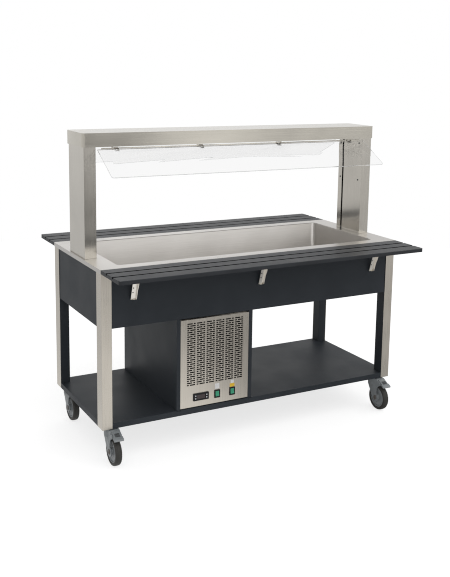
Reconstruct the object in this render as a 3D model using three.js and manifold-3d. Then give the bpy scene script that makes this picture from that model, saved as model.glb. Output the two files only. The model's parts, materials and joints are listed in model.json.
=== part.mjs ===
// Mobile refrigerated salad bar: a stainless worktop over a cooled well, an overhead canopy with two
// clear sneeze guards, two fold-down tray slides, a cooling unit behind a slotted grille, and casters.
// Millimetres, +Z up, +X along the length, front towards -Y, origin on the floor under the centre.
import * as THREE from 'three';
import { mergeVertices } from 'three/addons/utils/BufferGeometryUtils.js';
import Module from 'manifold-3d';

const wasm = await Module();
wasm.setup();

// ---- driving dimensions ----
const length = 1500;            // worktop, left to right
const depth = 620;              // worktop, front to rear
const topHeight = 850;          // worktop surface above the floor
const frameBottom = 161;        // underside of legs and shelf, above the casters
const sheet = 2;                // folded stainless sheet
const gap = 0.3;                // clearance between pieces that touch

const foldDrop = 18;            // turned-down edge of the worktop
const well = { x: 1310, y: 510, depth: 180, corner: 20, wall: 28 };
const drain = { x: 560, bore: 20.4, pipe: 20, inner: 16, flange: 32, below: 60 };
const leg = { inset: 2.5, x: 45, y: 58 };
const board = { thick: 18, recess: 6, bottom: 596 };
const shelf = { thick: 25, recess: 3, housing: 3 };
const bay = { left: -388.5, right: -51.5 };        // clear width of the cooling compartment
const panelReturn = 15;         // depth of the folded edges of the slotted panels
const upright = { span: 1484, x: 53, y: 194, slot: 12, rearLip: 32 };
const canopy = { x: 1498, y: 210, high: 59, top: 1386, corner: 15, lip: 15 };
const guard = { half: 685, reach: 204, thick: 4, tilt: 30, corner: 10 };
const guardRod = { y: 100, z: 1320, r: 2.5, bore: 2.9, knuckle: 5.2 };
const clamp = { half: 10, thick: 3.6, reach: 18, places: [-600, -200, 200, 600] };
const lampBar = { half: 600, base: 34, face: 22, rim: 8, deep: 22 };
const tray = { inner: 7, outer: 215, thick: 16, corner: 12 };
const ribs = { wide: [58, 58, 69], groove: 12, deep: 7 };
const trayHinge = { out: 14, z: 810, r: 3, bore: 3.4, lugAt: 26, lugHalf: 3 };
const stay = { out: 45, z: 815, lean: 18, wide: 23, below: 108, above: 8 };
const stayFlange = { back: 6, front: 6, flare: 10, lip: 4 };
const stayWebTop = -7;          // the web stops below the pin, so that the lobe can swing over it
const stayHoles = { x: 4.8, r: 3, at: [-53, -75] };
const stayPin = { r: 2.5, bore: 2.8, lobe: 5.2 };
const stayPlaces = [-610, 0, 610];
const placeNames = ['left', 'middle', 'right'];
const slots = { columns: 6, rows: 15, pitchX: 46.9, pitchZ: 19.14, left: -356.3, top: 572.5, high: 5 };
const slotSpans = [[[0, 25], [30.8, 39.4]], [[0, 8.6], [14.4, 39.4]]];  // from the column's left, row by row
const rearSlots = { columns: 3, rows: 9, pitchX: 86, pitchZ: 28, left: -343, bottom: 300, wide: 74, high: 8 };
const thermostat = { x: -288, z: 233, wide: 76, high: 34, bezel: 3.2, deep: 58 };
const switchPlaces = { left: -207.5, right: -132 };
const switchZ = 232;
const rockerTilt = 7;           // degrees either side of level
const caster = { x: 696, y: 272, trail: 34, r: 62.5, wide: 30, axle: 6 };
const kingPin = { r: 5, bore: 5.4, top: 179 };
const housing = { inner: 18, outer: 22.5, back: 28, front: 68, roof: 130, top: 157, boss: 22 };
const crown = 30;               // radius of the swivel's round head
const axleCap = 10.5;           // radius of the cap on each end of an axle
const pedal = { pivot: 52, z: 147, pin: 3, bore: 3.4, half: 17.4, lipHalf: 21, room: 43 };
const fan = { x: -220, z: 395, r: 116, y: -222, hub: 26, blades: 5, pitch: 18 };
const condenserBlock = { half: 150, below: 133, above: 135, front: -280, fins: 34, shroud: 9 };
const compressorPlace = { x: -220, y: 90 };

// ---- finishes ----
const finish = (color, roughness, metalness, more = {}) => (
  new THREE.MeshStandardMaterial({ color, roughness, metalness, ...more })
);
const steel = finish(0xb9b3aa, 0.35, 1.0);
const laminate = finish(0x35393d, 0.55, 0.0);
const acrylic = finish(0xf2f6f6, 0.05, 0.0, { transparent: true, opacity: 0.3 });
const greyPlastic = finish(0x80868a, 0.5, 0.0);
const darkPlastic = finish(0x1c1d1e, 0.4, 0.0);
const tyreRubber = finish(0x3a3a39, 0.8, 0.0);
const litGreen = finish(0x2a8a5f, 0.3, 0.0);
const buttonGrey = finish(0xc8cccd, 0.5, 0.0);
const castIron = finish(0x141516, 0.6, 0.3);
const fins = finish(0x9a9da0, 0.5, 0.9);

// ---- solids ----
function solid(geometry) {
  const bare = geometry.clone();
  bare.deleteAttribute('normal');
  bare.deleteAttribute('uv');
  const merged = mergeVertices(bare, 1e-4);
  const index = merged.index.array;
  const kept = [];
  for (let i = 0; i < index.length; i += 3) {
    const [a, b, c] = [index[i], index[i + 1], index[i + 2]];
    if (a !== b && b !== c && a !== c) kept.push(a, b, c);
  }
  const mesh = new wasm.Mesh({
    numProp: 3,
    vertProperties: Float32Array.from(merged.attributes.position.array),
    triVerts: Uint32Array.from(kept),
  });
  return new wasm.Manifold(mesh);
}

const join = (first, ...rest) => rest.reduce((sum, piece) => sum.add(piece), first);
const cut = (first, ...rest) => rest.reduce((sum, piece) => sum.subtract(piece), first);

function geometryOf(shape) {
  const mesh = shape.getMesh();
  const geometry = new THREE.BufferGeometry();
  geometry.setAttribute('position', new THREE.Float32BufferAttribute(mesh.vertProperties, 3));
  geometry.setIndex(Array.from(mesh.triVerts));
  geometry.computeVertexNormals();
  return geometry;
}

function box([x0, x1], [y0, y1], [z0, z1]) {
  const geometry = new THREE.BoxGeometry(x1 - x0, y1 - y0, z1 - z0);
  geometry.translate((x0 + x1) / 2, (y0 + y1) / 2, (z0 + z1) / 2);
  return solid(geometry);
}

// A rod along 'x', 'y' or 'z', from one end to the other, through the two other coordinates.
function rod(axis, from, to, [a, b], r, sides = 16) {
  const geometry = new THREE.CylinderGeometry(r, r, to - from, sides);
  const middle = (from + to) / 2;
  if (axis === 'x') geometry.rotateZ(-Math.PI / 2).translate(middle, a, b);
  if (axis === 'y') geometry.translate(a, middle, b);
  if (axis === 'z') geometry.rotateX(Math.PI / 2).translate(a, b, middle);
  return solid(geometry);
}

function outline(points) {
  return new THREE.Shape(points.map(([u, v]) => new THREE.Vector2(u, v)));
}

function roundedRectangle(wide, high, r) {
  const shape = new THREE.Shape();
  const [a, b] = [wide / 2 - r, high / 2 - r];
  shape.absarc(a, b, r, 0, Math.PI / 2);
  shape.absarc(-a, b, r, Math.PI / 2, Math.PI);
  shape.absarc(-a, -b, r, Math.PI, 1.5 * Math.PI);
  shape.absarc(a, -b, r, 1.5 * Math.PI, 2 * Math.PI);
  return shape;
}

function extrude(shape, height, curveSegments = 4) {
  return new THREE.ExtrudeGeometry(shape, { depth: height, bevelEnabled: false, curveSegments });
}

// A profile in (y, z) run along X, one in (x, z) run along Y, and one in (x, y) run up Z.
const axisX = new THREE.Vector3(1, 0, 0);
const axisY = new THREE.Vector3(0, 1, 0);
const axisZ = new THREE.Vector3(0, 0, 1);

function alongX(shape, x0, x1, curveSegments) {
  const turn = new THREE.Matrix4().makeBasis(axisY, axisZ, axisX);
  return solid(extrude(shape, x1 - x0, curveSegments).applyMatrix4(turn).translate(x0, 0, 0));
}

function alongY(shape, y0, y1, curveSegments) {
  const turn = new THREE.Matrix4().makeBasis(axisX, axisZ, axisY.clone().negate());
  return solid(extrude(shape, y1 - y0, curveSegments).applyMatrix4(turn).translate(0, y1, 0));
}

function alongZ(shape, z0, z1, curveSegments) {
  return solid(extrude(shape, z1 - z0, curveSegments).translate(0, 0, z0));
}

// A closed (radius, height) profile turned about Z.
function turned(profile, sides) {
  const points = [...profile, profile[0]].map(([r, h]) => new THREE.Vector2(r, h));
  return new THREE.LatheGeometry(points, sides).rotateX(Math.PI / 2);
}

const range = (from, to) => (from < to ? [from, to] : [to, from]);

// ---- scene graph ----
const saladBar = new THREE.Group();

function add(name, shape, material) {
  const mesh = new THREE.Mesh(geometryOf(shape), material);
  mesh.name = name;
  saladBar.add(mesh);
}

const sides = [{ name: 'left', s: -1 }, { name: 'right', s: 1 }];
const ends = [{ name: 'front', s: -1 }, { name: 'rear', s: 1 }];

// Outward distances are measured from the face of the front or rear apron.
const outward = (s, out) => s * (depth / 2 - board.recess + out);

// ---- worktop and well ----

// Lugs under the worktop's turned-down edge carry the tray slide's hinge pins.
function hingeLug(x, s) {
  const profile = outline([
    [4, -5], [6, -5], [6, -17], [18, -28], [20, -38], [16, -47], [8, -47], [1, -32], [1, -24], [4, -18],
  ].map(([out, down]) => [outward(s, out), topHeight + down]));
  const plate = alongX(profile, x - trayHinge.lugHalf, x + trayHinge.lugHalf);
  const pinBore = rod('x', x - 5, x + 5, [outward(s, trayHinge.out), trayHinge.z], trayHinge.bore, 10);
  return cut(plate, pinBore);
}

function worktop() {
  const [x, y, z] = [length / 2, depth / 2, topHeight];
  const outside = alongZ(roundedRectangle(length, depth, 4), z - foldDrop, z, 2);
  const hollow = box([-x + sheet, x - sheet], [-y + sheet, y - sheet], [z - foldDrop - 1, z - sheet]);
  const mouth = alongZ(roundedRectangle(well.x, well.y, well.corner), z - 10, z + 1);
  const lugs = ends.flatMap(({ s }) => stayPlaces.map((place) => hingeLug(place + trayHinge.lugAt, s)));
  return join(cut(outside, hollow, mouth), ...lugs);
}

const wellFloor = topHeight - well.depth;

function insulatedWell() {
  const [x, y] = [well.x / 2 + well.wall, well.y / 2 + well.wall - 1];
  const casing = box([-x, x], [-y, y], [wellFloor - well.wall, topHeight - sheet - gap]);
  const cavity = alongZ(roundedRectangle(well.x - 4, well.y - 4, well.corner), wellFloor, topHeight);
  const outlet = rod('z', wellFloor - well.wall - 1, wellFloor + 1, [drain.x, 0], drain.bore, 20);
  return cut(casing, cavity, outlet);
}

function drainFitting() {
  const { inner, pipe, flange } = drain;
  const [foot, rim] = [wellFloor - drain.below, wellFloor + gap];
  const lip = rim + 2.5;
  const profile = [[inner, foot], [pipe, foot], [pipe, rim], [flange, rim], [flange - 2, lip], [inner, lip]];
  return solid(turned(profile, 16).translate(drain.x, 0, 0));
}

// ---- legs, aprons and shelf ----
const legOuter = { x: length / 2 - leg.inset, y: depth / 2 - leg.inset };
const legTop = topHeight - sheet - 0.5;

function legCladding(sx, sy) {
  const { x, y } = legOuter;
  const plan = outline([
    [sx * x, sy * y], [sx * (x - leg.x), sy * y], [sx * (x - leg.x), sy * (y - sheet)],
    [sx * (x - sheet), sy * (y - sheet)], [sx * (x - sheet), sy * (y - leg.y)], [sx * x, sy * (y - leg.y)],
  ]);
  return alongZ(plan, frameBottom, legTop);
}

function legPost(sx, sy) {
  const skin = sheet + gap;
  const xs = range(sx * (legOuter.x - leg.x), sx * (legOuter.x - skin));
  const ys = range(sy * (legOuter.y - leg.y), sy * (legOuter.y - skin));
  return box(xs, ys, [frameBottom, legTop]);
}

function longApron(s) {
  const face = depth / 2 - board.recess;
  const reach = legOuter.x - leg.x - gap;
  return box([-reach, reach], range(s * (face - board.thick), s * face), [board.bottom, legTop]);
}

function endApron(s) {
  const face = length / 2 - board.recess + 1;
  const reach = legOuter.y - leg.y - gap;
  return box(range(s * (face - board.thick), s * face), [-reach, reach], [board.bottom, legTop]);
}

function bottomShelf() {
  const [x, y] = [length / 2 - shelf.recess, depth / 2 - shelf.recess];
  const z = [frameBottom + gap, frameBottom + shelf.thick];
  const through = [z[0] - 1, z[1] + 1];
  const notchX = legOuter.x - leg.x - gap;
  const notchY = legOuter.y - leg.y - gap;
  const cuts = [];
  for (const sx of [-1, 1]) {
    for (const sy of [-1, 1]) {
      cuts.push(box(range(sx * notchX, sx * (x + 1)), range(sy * notchY, sy * (y + 1)), through));
      cuts.push(rod('z', z[0] - 1, kingPin.top + 1, [sx * caster.x, sy * caster.y], kingPin.bore));
    }
  }
  for (const [inner, s] of [[bay.left, -1], [bay.right, 1]]) {
    const groove = range(inner - s * gap, inner + s * (board.thick + gap));
    cuts.push(box(groove, [-y - 1, y + 1], [z[1] - shelf.housing, z[1] + 1]));
  }
  return cut(box([-x, x], [-y, y], z), ...cuts);
}

// ---- cooling compartment ----
const compartmentFloor = frameBottom + shelf.thick + gap;
const compartmentFace = depth / 2 - board.recess;

// Each side stands in a groove of the shelf.
function compartmentSide(inner, s) {
  return box(range(inner, inner + s * board.thick), [-compartmentFace, compartmentFace],
    [compartmentFloor - shelf.housing, board.bottom - gap]);
}

// A sheet panel with four returns folded inwards, whose face looks along s.
function foldedPanel(s) {
  const x = [bay.left + 0.7, bay.right - 0.7];
  const z = [compartmentFloor + 3.7, board.bottom - 4];
  const face = compartmentFace - 1;
  const pan = box(x, range(s * (face - panelReturn), s * face), z);
  const inside = box([x[0] + sheet, x[1] - sheet], range(s * (face - panelReturn - 1), s * (face - sheet)),
    [z[0] + sheet, z[1] - sheet]);
  return cut(pan, inside);
}

// In each column a row has a long and a short slot, and the next row has them the other way round.
function staggeredSlots() {
  const cuts = [];
  const y = [-compartmentFace - 5, -compartmentFace + 8];
  for (let column = 0; column < slots.columns; column += 1) {
    const left = slots.left + column * slots.pitchX;
    for (let row = 0; row < slots.rows; row += 1) {
      const z = slots.top - row * slots.pitchZ - slots.high / 2;
      for (const [a, b] of slotSpans[row % slotSpans.length]) {
        cuts.push(box([left + a, left + b], y, [z - slots.high / 2, z + slots.high / 2]));
      }
    }
  }
  return cuts;
}

function frontGrille() {
  const y = [-compartmentFace - 5, -compartmentFace + 8];
  const { x, z } = thermostat;
  const controls = [box([x - 35.5, x + 35.5], y, [z - 14.5, z + 14.5])];
  for (const place of Object.values(switchPlaces)) {
    controls.push(box([place - 11, place + 11], y, [switchZ - 15.5, switchZ + 15.5]));
  }
  return cut(foldedPanel(-1), ...staggeredSlots(), ...controls);
}

// The rear panel lets the warm air out through plain rows of slots.
function rearGrille() {
  const cuts = [];
  const { columns, rows, pitchX, pitchZ, left, bottom, wide, high } = rearSlots;
  for (let column = 0; column < columns; column += 1) {
    for (let row = 0; row < rows; row += 1) {
      const [x, z] = [left + column * pitchX, bottom + row * pitchZ];
      cuts.push(box([x, x + wide], [compartmentFace - 8, compartmentFace + 5], [z, z + high]));
    }
  }
  return cut(foldedPanel(1), ...cuts);
}

const panelFront = -(compartmentFace - 1);

function thermostatBody() {
  const { x, z, wide, high } = thermostat;
  const face = panelFront - gap;
  const bezel = alongY(roundedRectangle(wide, high, 2), face - thermostat.bezel, face).translate(x, 0, z);
  const window = box([x - 20, x + 20], [face - 5, face - 2.4], [z - 10, z + 10]);
  const body = box([x - 35, x + 35], [face - 1, face + thermostat.deep], [z - 14, z + 14]);
  const bores = buttonPlaces().map(([bx, bz]) => rod('y', face - 5, face + 3, [bx, bz], 3.1, 12));
  return cut(join(bezel, body), window, ...bores);
}

function buttonPlaces() {
  const { x, z } = thermostat;
  return [[x - 27, z + 6], [x - 27, z - 6], [x + 27, z + 6], [x + 27, z - 6]];
}

const buttonNames = ['upper_left', 'lower_left', 'upper_right', 'lower_right'];

function button([x, z]) {
  const face = panelFront - gap - thermostat.bezel;
  return rod('y', face - 1, face + 4, [x, z], 2.8, 12);
}

// Rocker switches: a bezel with a pocket, and a rocker on two short pivots.
const rockerPivot = { y: panelFront - gap - 2.7 + 6, r: 1.5 };

function switchBezel(x) {
  const face = panelFront - gap;
  const flange = alongY(roundedRectangle(28, 37, 2), face - 2.7, face).translate(x, 0, switchZ);
  const body = box([x - 10.7, x + 10.7], [face - 1, face + 28], [switchZ - 15.2, switchZ + 15.2]);
  const pocket = box([x - 9, x + 9], [face - 5, face + 14], [switchZ - 13, switchZ + 13]);
  const pivots = rod('x', x - 10, x + 10, [rockerPivot.y, switchZ], rockerPivot.r + 0.4, 12);
  return cut(join(flange, body), pocket, pivots);
}

function rocker(x) {
  const profile = outline([[-6.6, 11.8], [-5, 0], [-6.6, -11.8], [0, -11.4], [5, -5], [5, 5], [0, 11.4]]);
  const key = alongX(profile, x - 8.6, x + 8.6);
  const pivots = rod('x', x - 9.8, x + 9.8, [0, 0], rockerPivot.r, 12);
  return join(key, pivots).rotate([-rockerTilt, 0, 0]).translate([0, rockerPivot.y, switchZ]);
}

function compressor() {
  const floor = compartmentFloor + gap;
  const dome = solid(turned([
    [0, 16], [80, 16], [92, 50], [92, 104], [96, 106], [96, 112], [92, 114], [88, 160], [60, 192], [0, 202],
  ], 16));
  const base = box([-105, 105], [-85, 85], [10, 20]);
  const feet = [[-90, -70], [90, -70], [-90, 70], [90, 70]].map((at) => rod('z', 0, 11, at, 12, 8));
  const terminals = box([60, 112], [-26, 26], [70, 130]);
  return join(dome, base, terminals, ...feet).translate([compressorPlace.x, compressorPlace.y, floor]);
}

// Condenser block with its fan shroud, and the motor held behind it on three arms.
function condenser() {
  const { half, below, above, front, fins: finsDeep, shroud: shroudDeep } = condenserBlock;
  const [x0, x1, z0, z1] = [fan.x - half, fan.x + half, fan.z - below, fan.z + above];
  const middle = [fan.x, fan.z];
  const shroudFront = front + finsDeep;
  const collarBack = fan.y + 17;
  const grooves = [];
  for (let x = x0 + 12; x < x1 - 12; x += 18) {
    grooves.push(box([x, x + 9], [front - 1, front + 8], [z0 + 8, z1 - 8]));
  }
  const block = cut(box([x0, x1], [front, shroudFront], [z0, z1]), ...grooves);
  const shroud = box([x0, x1], [shroudFront - 1, shroudFront + shroudDeep - 1], [z0, z1]);
  const collar = rod('y', shroudFront + 7, collarBack, middle, fan.r + 12, 24);
  const throat = rod('y', shroudFront, collarBack + 1, middle, fan.r + 8, 24);
  const feet = [[x0, x0 + 20], [x1 - 20, x1]].map((x) => (
    box(x, [front, collarBack], [compartmentFloor + gap, z0 + 1])
  ));
  const arm = box([-7, 7], [collarBack - 2, collarBack + 4], [0, fan.r + 11]);
  const arms = [0, 120, 240].map((turn) => arm.rotate([0, turn, 0]).translate([fan.x, 0, fan.z]));
  const motor = rod('y', collarBack - 1, collarBack + 55, middle, 36, 16);
  const shaft = rod('y', fan.y - 4, collarBack + 5, middle, 4, 12);
  return join(cut(join(block, shroud, collar), throat), ...feet, ...arms, motor, shaft);
}

// Pitched blades on a hub that turns on the motor's shaft.
function fanRotor() {
  const hub = rod('y', -12, 12, [0, 0], fan.hub, 20);
  const blades = [];
  for (let i = 0; i < fan.blades; i += 1) {
    const blade = alongZ(outline([[-28, -1.2], [28, -1.2], [28, 1.2], [-28, 1.2]]), 15, fan.r);
    blades.push(blade.rotate([0, 0, fan.pitch]).rotate([0, (i * 360) / fan.blades, 0]));
  }
  const bore = rod('y', -5, 13, [0, 0], 4.4, 12);
  return cut(join(hub, ...blades), bore).translate([fan.x, fan.y, fan.z]);
}

// ---- uprights, canopy and lamp ----

// One folded sheet: outer face, front and rear faces, and two inner returns with a cable slot between.
function uprightPost(s) {
  const [outer, inner, y] = [upright.span / 2, upright.span / 2 - upright.x, upright.y / 2];
  const rearEdge = y - upright.rearLip;
  const frontEdge = rearEdge - upright.slot;
  const plan = outline([
    [outer, -y], [outer, y], [inner, y], [inner, rearEdge], [inner + sheet, rearEdge],
    [inner + sheet, y - sheet], [outer - sheet, y - sheet], [outer - sheet, -y + sheet],
    [inner + sheet, -y + sheet], [inner + sheet, frontEdge], [inner, frontEdge], [inner, -y],
  ].map(([px, py]) => [s * px, py]));
  return alongZ(plan, topHeight + gap, canopy.top - sheet - gap);
}

function canopyShell() {
  const bottom = canopy.top - canopy.high;
  const [x, y] = [canopy.x / 2, canopy.y / 2];
  const outside = alongZ(roundedRectangle(canopy.x, canopy.y, canopy.corner), bottom, canopy.top, 5);
  const inner = roundedRectangle(canopy.x - 2 * sheet, canopy.y - 2 * sheet, canopy.corner - sheet);
  const inside = alongZ(inner, bottom - 1, canopy.top - sheet, 5);
  const shell = cut(outside, inside);
  const pieces = [];
  const lipHalf = upright.span / 2 - upright.x - 4;
  for (const s of [-1, 1]) {
    pieces.push(box([-lipHalf, lipHalf], range(s * (y - canopy.lip), s * (y - 1)), [bottom, bottom + sheet]));
    pieces.push(rod('x', -lipHalf + 20, lipHalf - 20, [s * guardRod.y, guardRod.z], guardRod.r, 10));
    for (const place of clamp.places) {
      const lugX = place + Math.sign(place) * (clamp.half + 6);
      pieces.push(box([lugX - 2, lugX + 2], range(s * (guardRod.y - 5), s * (guardRod.y + 3.5)),
        [guardRod.z - 4, bottom + 1]));
    }
  }
  return join(shell, ...pieces);
}

function lamp() {
  const top = canopy.top - sheet - gap;
  const { half, base, face, rim, deep } = lampBar;
  const profile = outline([
    [-base, top], [-base, top - rim], [-face, top - deep], [face, top - deep], [base, top - rim], [base, top],
  ]);
  return alongX(profile, -half, half);
}

// ---- sneeze guards ----

// A clear sheet in four clamps that swing on the canopy's rod. Built level, then tilted down.
function sneezeGuard(s) {
  const plan = new THREE.Shape();
  const { half, reach, corner } = guard;
  plan.moveTo(-half, 9);
  plan.lineTo(half, 9);
  plan.lineTo(half, reach - corner);
  plan.absarc(half - corner, reach - corner, corner, 0, Math.PI / 2);
  plan.lineTo(-half + corner, reach);
  plan.absarc(-half + corner, reach - corner, corner, Math.PI / 2, Math.PI);
  const clear = alongZ(plan, -guard.thick / 2, guard.thick / 2);
  const clampProfile = new THREE.Shape();
  clampProfile.moveTo(clamp.reach, -clamp.thick);
  clampProfile.lineTo(clamp.reach, clamp.thick);
  clampProfile.lineTo(4, clamp.thick);
  clampProfile.absarc(0, 0, guardRod.knuckle, 0.8, 2 * Math.PI - 0.8);
  clampProfile.lineTo(4, -clamp.thick);
  const clamps = clamp.places.map((place) => (
    alongX(clampProfile, place - clamp.half, place + clamp.half, 5)
  ));
  const bore = rod('x', -half - 1, half + 1, [0, 0], guardRod.bore, 10);
  const level = cut(join(clear, ...clamps), bore).rotate([-guard.tilt, 0, 0]);
  const placed = level.translate([0, guardRod.y, guardRod.z]);
  return s > 0 ? placed : placed.rotate([0, 0, 180]);
}

// ---- tray slides and their folding stays ----

function trayEar(place, s) {
  const pin = [outward(s, trayHinge.out), trayHinge.z];
  const top = topHeight - tray.thick + 2;
  const up = top - trayHinge.z;
  const plate = outline([[10, up], [-5, up], [-7, 0], [-4, -6], [4, -6], [7, 0], [12, 12]]
    .map(([out, high]) => [pin[0] + s * out, pin[1] + high]));
  return join(
    alongX(plate, place + 16, place + 21),
    rod('x', place + 17, place + 30.5, pin, trayHinge.r, 10),
  );
}

// The lobe that carries a stay's pin, with a round end the stay can swing about.
function stayLobe(place, s) {
  const pin = [outward(s, stay.out), stay.z];
  const r = stayPin.lobe;
  const lobe = new THREE.Shape();
  lobe.moveTo(pin[0] + r, topHeight - tray.thick + 2);
  lobe.lineTo(pin[0] - r, topHeight - tray.thick + 2);
  lobe.absarc(pin[0], pin[1], r, Math.PI, 2 * Math.PI);
  const half = stay.wide / 2 + 1.2;
  const pinRod = rod('x', place - half, place + half, pin, stayPin.r, 10);
  return join(alongX(lobe, place - 3, place + 3, 5), pinRod);
}

function traySlide(s) {
  const top = topHeight;
  const profile = [[tray.inner, top - tray.thick], [tray.inner, top]];
  let out = tray.inner;
  for (const rib of ribs.wide.slice(0, -1)) {
    out += rib;
    profile.push([out, top], [out + 1.5, top - ribs.deep]);
    out += ribs.groove;
    profile.push([out - 1.5, top - ribs.deep], [out, top]);
  }
  profile.push([tray.outer - 2, top], [tray.outer, top - 2], [tray.outer, top - tray.thick]);
  const plank = alongX(outline(profile.map(([o, z]) => [outward(s, o), z])), -length / 2, length / 2);
  const rounded = roundedRectangle(length, 2 * outward(1, tray.outer), tray.corner);
  const ribbed = plank.intersect(alongZ(rounded, top - tray.thick - 1, top + 1));
  const fittings = stayPlaces.flatMap((place) => [trayEar(place, s), stayLobe(place, s)]);
  return join(ribbed, ...fittings);
}

// A channel that opens outwards, pinned under the tray, whose foot rests near the apron. One flange is
// deep all the way down. The other is an ear at the pin and only a low lip below it.
function foldingStay(place, s) {
  const { wide, below, above, lean } = stay;
  const { back, front, flare, lip } = stayFlange;
  const side = outline([
    [-back, -below], [front - 4, -below], [front, -below + 5], [front, -60], [flare, -38],
    [flare, above - 4], [flare - 4, above], [-back + 5, above], [-back, above - 5],
  ]);
  const room = outline([
    [lip - back, -below - 1], [flare + 1, -below - 1], [flare + 1, -14], [flare, -14], [lip - back, -32],
  ]);
  const between = [-wide / 2 + sheet, wide / 2 - sheet];
  const inside = box(between, [-back + sheet, flare + 1], [-below + sheet, above + 1]);
  const crest = box(between, [-back - 1, flare + 1], [stayWebTop, above + 1]);
  const overLip = alongX(room, wide / 2 - sheet - 1, wide / 2 + 1);
  const bore = rod('x', -wide, wide, [0, 0], stayPin.bore, 10);
  const holes = stayHoles.at.map((z) => (
    rod('y', -back - 1, -back + sheet + 1, [stayHoles.x, z], stayHoles.r, 10)
  ));
  const channel = cut(alongX(side, -wide / 2, wide / 2), inside, crest, overLip, bore, ...holes);
  const placed = channel.rotate([-lean, 0, 0]).translate([0, outward(1, stay.out), stay.z]);
  return (s > 0 ? placed : placed.rotate([0, 0, 180])).translate([place, 0, 0]);
}

// ---- casters ----

// Profiles are in (u, z): u runs from the swivel axis towards the front, where every wheel trails.
const forwards = (shape) => outline(shape.getPoints(5).map((p) => [-p.x, p.y]));

// The side view of the moulded housing: a roof over the wheel, a strut and the round boss of the axle.
function housingProfile() {
  const { back, front, roof, top, boss } = housing;
  const strut = 5;              // how far the strut's front edge is ahead of the axle
  const shape = new THREE.Shape();
  shape.moveTo(-back, roof - 9);
  shape.lineTo(-back, top - 8);
  shape.lineTo(-back + 8, top);
  shape.lineTo(front - 28, top);
  shape.lineTo(front, top - 15);
  shape.lineTo(front, roof + 1);
  shape.quadraticCurveTo(caster.trail + strut + 3, roof - 4, caster.trail + strut, roof - 34);
  shape.absarc(caster.trail, caster.r, boss, Math.acos(strut / boss), -Math.PI * 0.82, true);
  return forwards(shape);
}

function casterFork(sx, sy, braked) {
  const { inner, outer, back, front, roof } = housing;
  const top = frameBottom - 0.6;
  const moulding = alongX(housingProfile(), -outer, outer);
  const head = [[0, roof - 8], [crown, roof - 8], [crown, top - 6], [crown - 6, top], [0, top]];
  const collar = solid(turned(head, 16));
  const wheelRoom = box([-inner, inner], [-front - 10, back - 6], [0, roof]);
  const pedalRoom = box([-inner, inner], [-front - 10, -pedal.room], [roof - 1, top]);
  const pedalBore = rod('x', -outer - 1, outer + 1, [-pedal.pivot, pedal.z], pedal.bore, 12);
  const cuts = braked ? [wheelRoom, pedalRoom, pedalBore] : [wheelRoom];
  const pin = rod('z', top - 4, kingPin.top, [0, 0], kingPin.r, 12);
  const wheelCentre = [-caster.trail, caster.r];
  const axle = rod('x', -outer, outer, wheelCentre, caster.axle, 12);
  const caps = [-1, 1].map((s) => (
    rod('x', ...range(s * (outer - 1), s * (outer + 2)), wheelCentre, axleCap, 12)
  ));
  const body = join(cut(join(moulding, collar), ...cuts), pin, axle, ...caps);
  return body.translate([sx * caster.x, sy * caster.y, 0]);
}

function casterWheel(sx, sy) {
  const profile = [
    [6.5, -16], [15, -16], [40, -7], [48, -12], [48, 12], [40, 7], [15, 16], [6.5, 16],
  ];
  const hub = solid(turned(profile, 20).rotateY(Math.PI / 2));
  return hub.translate([sx * caster.x, sy * caster.y - caster.trail, caster.r]);
}

function casterTyre(sx, sy) {
  const { r, wide } = caster;
  const profile = [
    [48 + gap, -12], [r - 7, -wide / 2], [r, -8], [r, 8], [r - 7, wide / 2], [48 + gap, 12],
  ];
  const tyre = solid(turned(profile, 20).rotateY(Math.PI / 2));
  return tyre.translate([sx * caster.x, sy * caster.y - caster.trail, caster.r]);
}

// A pedal on a cross pin between the housing's cheeks, with a grip pad, a wider lip and a brake shoe.
function brakePedal(sx, sy) {
  const { half, lipHalf, pivot, z } = pedal;
  const plate = [
    [44, 148], [46, 156], [50, 156], [88, 138.5], [95, 135], [98, 131], [96, 127.5], [92, 127],
    [80, 133], [62, 141], [46, 143],
  ];
  const lip = [[80, 142], [88, 138.5], [95, 135], [98, 131], [96, 127.5], [92, 127], [80, 133]];
  const pad = [[62, 148], [62.8, 151.2], [82.8, 142], [82, 139]];
  const shoe = [[56, 143], [69, 139], [67, 128], [58, 127]];
  const across = (points, reach) => alongX(outline(points.map(([u, high]) => [-u, high])), -reach, reach);
  const pin = rod('x', -housing.outer + 1, housing.outer - 1, [-pivot, z], pedal.pin, 12);
  const pieces = join(across(plate, half), across(lip, lipHalf), across(pad, 11), across(shoe, 9), pin);
  return pieces.translate([sx * caster.x, sy * caster.y, 0]);
}

// ---- assembly ----
add('worktop', worktop(), steel);
add('insulated_well', insulatedWell(), steel);
add('drain_fitting', drainFitting(), steel);
for (const end of ends) {
  for (const side of sides) {
    add(`leg_cladding_${end.name}_${side.name}`, legCladding(side.s, end.s), steel);
    add(`leg_post_${end.name}_${side.name}`, legPost(side.s, end.s), laminate);
  }
  add(`apron_${end.name}`, longApron(end.s), laminate);
  add(`tray_slide_${end.name}`, traySlide(end.s), laminate);
  add(`sneeze_guard_${end.name}`, sneezeGuard(end.s), acrylic);
  stayPlaces.forEach((place, i) => {
    add(`tray_stay_${end.name}_${placeNames[i]}`, foldingStay(place, end.s), steel);
  });
}
for (const side of sides) {
  add(`apron_${side.name}`, endApron(side.s), laminate);
  add(`upright_${side.name}`, uprightPost(side.s), steel);
}
add('bottom_shelf', bottomShelf(), laminate);
add('compartment_side_left', compartmentSide(bay.left, -1), laminate);
add('compartment_side_right', compartmentSide(bay.right, 1), laminate);
add('front_grille', frontGrille(), steel);
add('rear_grille', rearGrille(), steel);
add('thermostat_body', thermostatBody(), darkPlastic);
buttonPlaces().forEach((place, i) => {
  add(`thermostat_button_${buttonNames[i]}`, button(place), buttonGrey);
});
for (const [name, x] of Object.entries(switchPlaces)) {
  add(`switch_bezel_${name}`, switchBezel(x), darkPlastic);
  add(`switch_rocker_${name}`, rocker(x), litGreen);
}
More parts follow.
